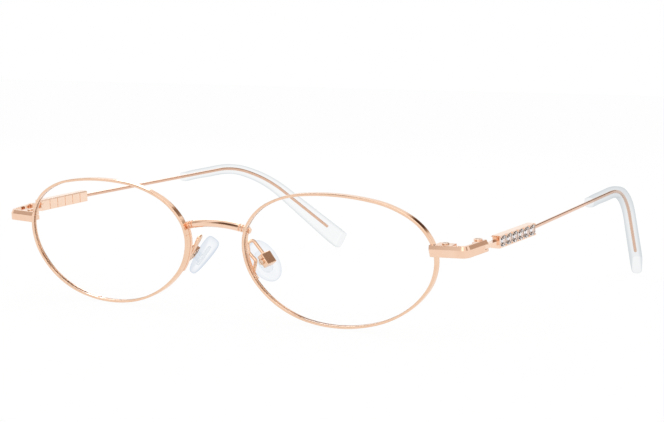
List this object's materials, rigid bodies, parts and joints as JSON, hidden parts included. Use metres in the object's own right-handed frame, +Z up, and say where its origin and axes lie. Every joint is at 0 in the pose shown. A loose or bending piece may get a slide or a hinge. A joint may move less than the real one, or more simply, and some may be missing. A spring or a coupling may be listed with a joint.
{
  "type": "eyeglasses",
  "caption": "Oval full-rim metal eyeglasses with clear rocking nose pads, stone-set folding temples and clear tips bent down behind the ears.",
  "frame": {"origin": "centre of the footprint on the surface that the open glasses stand on, lower rims and temple tips down", "axes": "+X to the wearer's left, -Y the way the wearer looks, +Y back along the temples, +Z up"},
  "size_m": [0.14, 0.1473, 0.0318],
  "materials": {
    "rose_gold": "polished rose-gold plating",
    "lens": "clear, coated",
    "clear_tip": "clear, polished",
    "clear_pad": "clear, smooth",
    "pad_plate": "clear, smooth",
    "screw": "bright steel",
    "stone": "faceted, clear"
  },
  "bodies": {
    "front": {"bridge": "rose_gold", "rim_left": "rose_gold", "rim_right": "rose_gold", "lens_left": "lens", "lens_right": "lens", "endpiece_left": "rose_gold", "endpiece_right": "rose_gold", "closing_block_upper_left": "rose_gold", "closing_block_upper_right": "rose_gold", "closing_block_lower_left": "rose_gold", "closing_block_lower_right": "rose_gold", "rim_screw_left": "screw", "rim_screw_right": "screw", "nose_strip_left": "rose_gold", "nose_strip_right": "rose_gold", "pad_arm_left": "rose_gold", "pad_arm_right": "rose_gold", "pad_box_left": "rose_gold", "pad_box_right": "rose_gold", "pad_screw_left": "screw", "pad_screw_right": "screw", "hinge_leaf_left": "rose_gold", "hinge_leaf_right": "rose_gold", "hinge_screw_left": "screw", "hinge_screw_right": "screw"},
    "temple_left": {"temple_tongue_left": "rose_gold", "temple_block_left": "rose_gold", "stones_left": "stone", "temple_wire_left": "rose_gold", "temple_tip_left": "clear_tip"},
    "temple_right": {"temple_tongue_right": "rose_gold", "temple_block_right": "rose_gold", "stones_right": "stone", "temple_wire_right": "rose_gold", "temple_tip_right": "clear_tip"},
    "pad_left": {"nose_pad_left": "clear_pad", "pad_insert_left": "pad_plate"},
    "pad_right": {"nose_pad_right": "clear_pad", "pad_insert_right": "pad_plate"}
  },
  "joints": [
    {"name": "hinge_left", "type": "hinge", "parent": "front", "child": "temple_left", "pos_m": [0.06659, -0.06225, 0.02115], "axis": [0, -0.1212, 0.9926], "range_deg": [0, 85]},
    {"name": "hinge_right", "type": "hinge", "parent": "front", "child": "temple_right", "pos_m": [-0.06659, -0.06225, 0.02115], "axis": [0, 0.1212, -0.9926], "range_deg": [0, 78]},
    {"name": "pad_rock_left", "type": "hinge", "parent": "front", "child": "pad_left", "pos_m": [0.01101, -0.0647, 0.01382], "axis": [-0.2094, -0.9509, -0.228], "range_deg": [-10, 10]},
    {"name": "pad_rock_right", "type": "hinge", "parent": "front", "child": "pad_right", "pos_m": [-0.01101, -0.0647, 0.01382], "axis": [-0.2094, 0.9509, 0.228], "range_deg": [-10, 10]}
  ]
}
